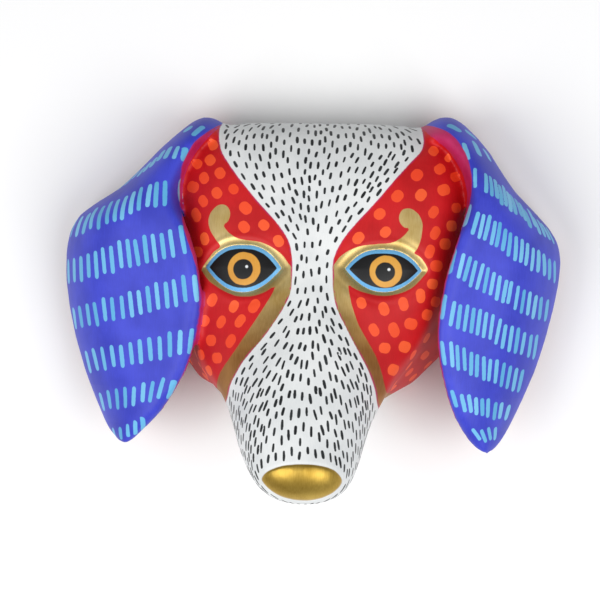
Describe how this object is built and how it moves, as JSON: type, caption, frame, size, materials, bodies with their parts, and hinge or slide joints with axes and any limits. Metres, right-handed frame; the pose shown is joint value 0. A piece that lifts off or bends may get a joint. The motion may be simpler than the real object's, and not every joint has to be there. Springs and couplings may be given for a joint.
{
  "type": "dog mask",
  "caption": "Carved and painted wooden dog mask in a folk style, with long hanging ears, a tapering muzzle and a hollow back with a flat rim.",
  "frame": {"origin": "middle of the mask's outline in X and Y, on the plane of the flat back rim", "axes": "+Z out of the face towards the nose, +Y from the nose to the crown, +X across the face to the right as seen from the front"},
  "size_m": [0.3306, 0.2506, 0.1504],
  "materials": {
    "painted_wood": "satin"
  },
  "bodies": {
    "root": {"carved_mask": "painted_wood"}
  },
  "joints": []
}
